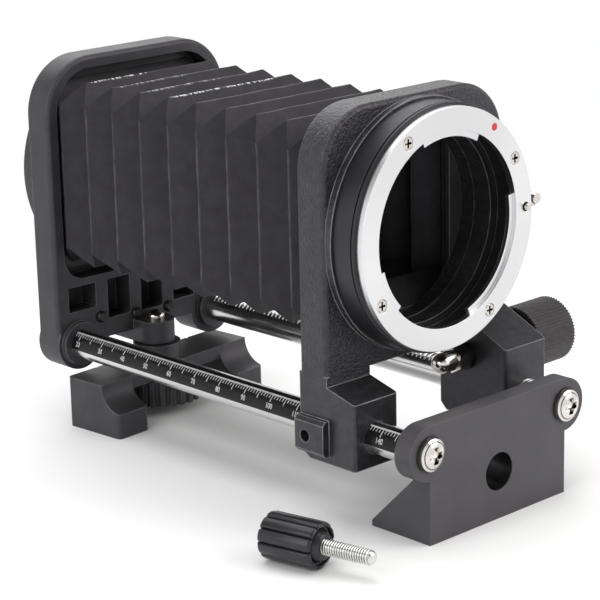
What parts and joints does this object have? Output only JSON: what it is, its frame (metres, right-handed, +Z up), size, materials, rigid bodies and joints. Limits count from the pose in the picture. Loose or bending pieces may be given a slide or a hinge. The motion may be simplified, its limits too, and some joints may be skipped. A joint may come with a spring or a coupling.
{
  "type": "macro bellows unit",
  "caption": "Macro focusing bellows with a rack-driven lens standard on two rails, a pleated light-tight bellows and a swivelling foot.",
  "frame": {"origin": "middle of the front bracket's base, on the surface that the unit stands on, under the optical axis", "axes": "+Z up, -Y towards the lens, so +X is at the knob's side"},
  "size_m": [0.1143, 0.1619, 0.1062],
  "materials": {
    "crackle_metal": "wrinkle paint",
    "moulded_black": "satin moulding",
    "gloss_black": "gloss",
    "anodised_black": "matt anodised",
    "rail_black": "gloss with white scale",
    "rack_steel": "machined",
    "bright_ring": "satin turned",
    "nickel": "bright nickel",
    "black_steel": "blackened",
    "cloth_black": "matt coated cloth",
    "red_paint": "gloss",
    "knurled_black": "knurled anodised"
  },
  "bodies": {
    "base": {"scaled_rail": "rail_black", "rack_rail": "rack_steel", "rear_standard": "moulded_black", "camera_mount": "bright_ring", "camera_mount_screws": "nickel", "web_screws": "black_steel", "bracket_screws": "nickel", "bracket_washers": "black_steel", "rail_rear_screws": "nickel", "front_bracket": "anodised_black", "bellows": "cloth_black", "bellows_rear_frame": "moulded_black"},
    "front_carriage": {"bellows_front_frame": "moulded_black", "front_standard": "crackle_metal", "mount_tube": "gloss_black", "lens_mount_ring": "bright_ring", "ring_screws": "nickel", "index_dot": "red_paint", "pinion_bush": "black_steel"},
    "release": {"lock_pin": "nickel", "release_lever": "nickel"},
    "drive": {"pinion_shaft": "nickel", "thrust_washer": "black_steel", "lock_nut": "nickel", "dome_nut": "nickel", "drive_knob": "knurled_black"},
    "foot": {"rear_foot": "moulded_black"},
    "clamp": {"clamp_disc": "moulded_black", "clamp_stud": "nickel"},
    "thumbscrew": {"thumbscrew_head": "gloss_black", "thumbscrew_stud": "nickel"}
  },
  "joints": [
    {"name": "focus_slide", "type": "slide", "parent": "base", "child": "front_carriage", "axis": [0, -1, 0], "range_m": [-0.075, 0.0075], "deforming": ["bellows"]},
    {"name": "drive_knob_turn", "type": "hinge", "parent": "front_carriage", "child": "drive", "pos_m": [0.0255, 0.01667, 0.03375], "axis": [1, 0, 0], "range_deg": [-720, 76]},
    {"name": "lens_release", "type": "slide", "parent": "front_carriage", "child": "release", "axis": [0, 1, 0], "range_m": [0, 0.0014], "stiffness_N_per_m": 400},
    {"name": "foot_swivel", "type": "hinge", "parent": "base", "child": "foot", "pos_m": [0, 0.12387, 0], "axis": [0, 0, 1], "continuous": true},
    {"name": "clamp_turn", "type": "hinge", "parent": "base", "child": "clamp", "pos_m": [0, 0.12387, 0], "axis": [0, 0, 1], "range_deg": [-15, 360]},
    {"name": "thumbscrew_lift", "type": "slide", "parent": "base", "child": "thumbscrew", "axis": [0, 0, 1], "range_m": [0, 0.05]}
  ],
  "couplings": [
    {"joint": "drive_knob_turn", "follows": "focus_slide", "rad_per_m": 166.67}
  ]
}
